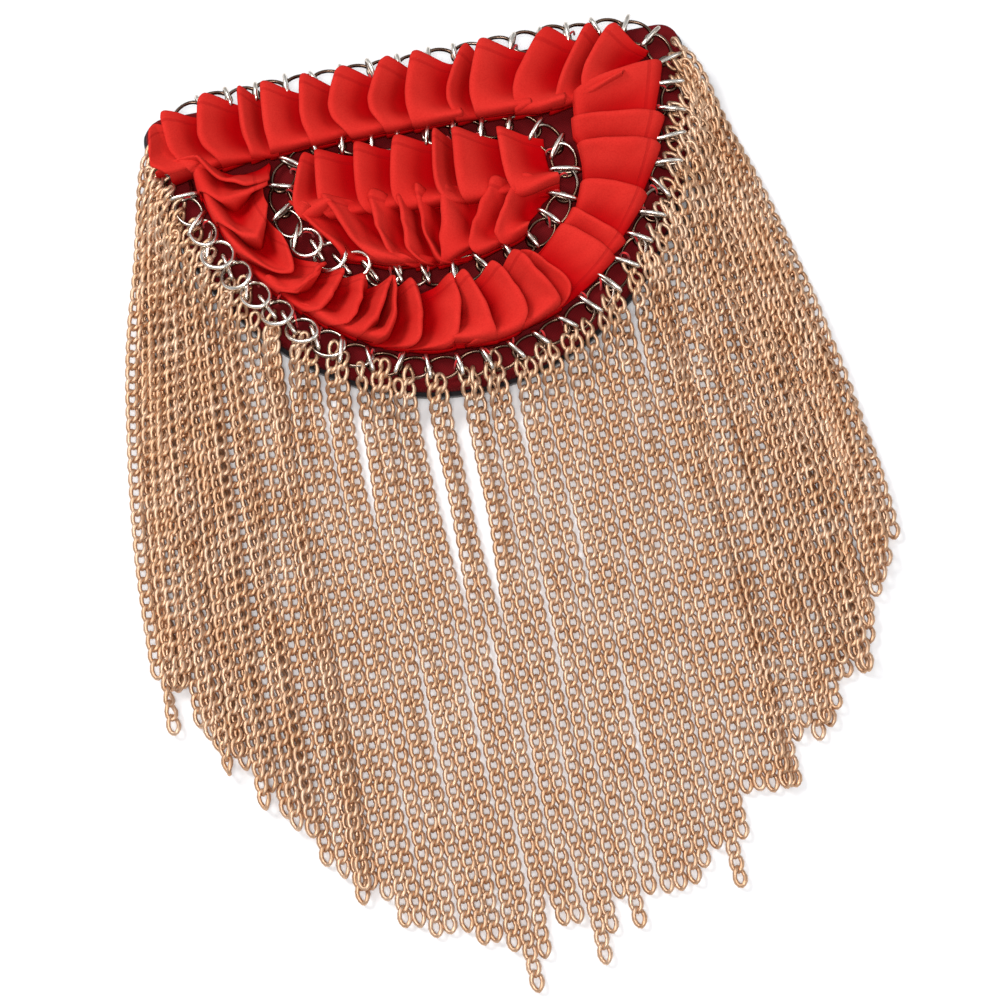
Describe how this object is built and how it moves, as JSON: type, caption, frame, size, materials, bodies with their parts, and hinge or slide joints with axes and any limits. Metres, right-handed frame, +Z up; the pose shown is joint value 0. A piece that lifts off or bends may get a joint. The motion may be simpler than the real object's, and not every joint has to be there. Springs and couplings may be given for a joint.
{
  "type": "bullion epaulette",
  "caption": "D-shaped shoulder pad with gathered ribbon, ring chains along its edge and a long chain fringe, sewn on at the shoulder as an ornament.",
  "frame": {"origin": "middle of the whole piece's box, on the surface that it lies on", "axes": "+X along the pad's straight edge, +Y from the fringe's tips towards the straight edge, +Z up out of the felt back"},
  "size_m": [0.1492, 0.1943, 0.0122],
  "materials": {
    "black_felt": "matte felt",
    "dark_red_cloth": "matte woven",
    "red_ribbon": "matte crepe",
    "silver_rings": "bright nickel plate",
    "gold_chain": "bright rose gold plate"
  },
  "bodies": {
    "root": {"felt_backing": "black_felt", "padded_base": "dark_red_cloth", "outer_ruffle": "red_ribbon", "inner_ruffle": "red_ribbon", "edge_chain": "silver_rings", "inner_chain": "silver_rings", "chain_fringe": "gold_chain"}
  },
  "joints": []
}
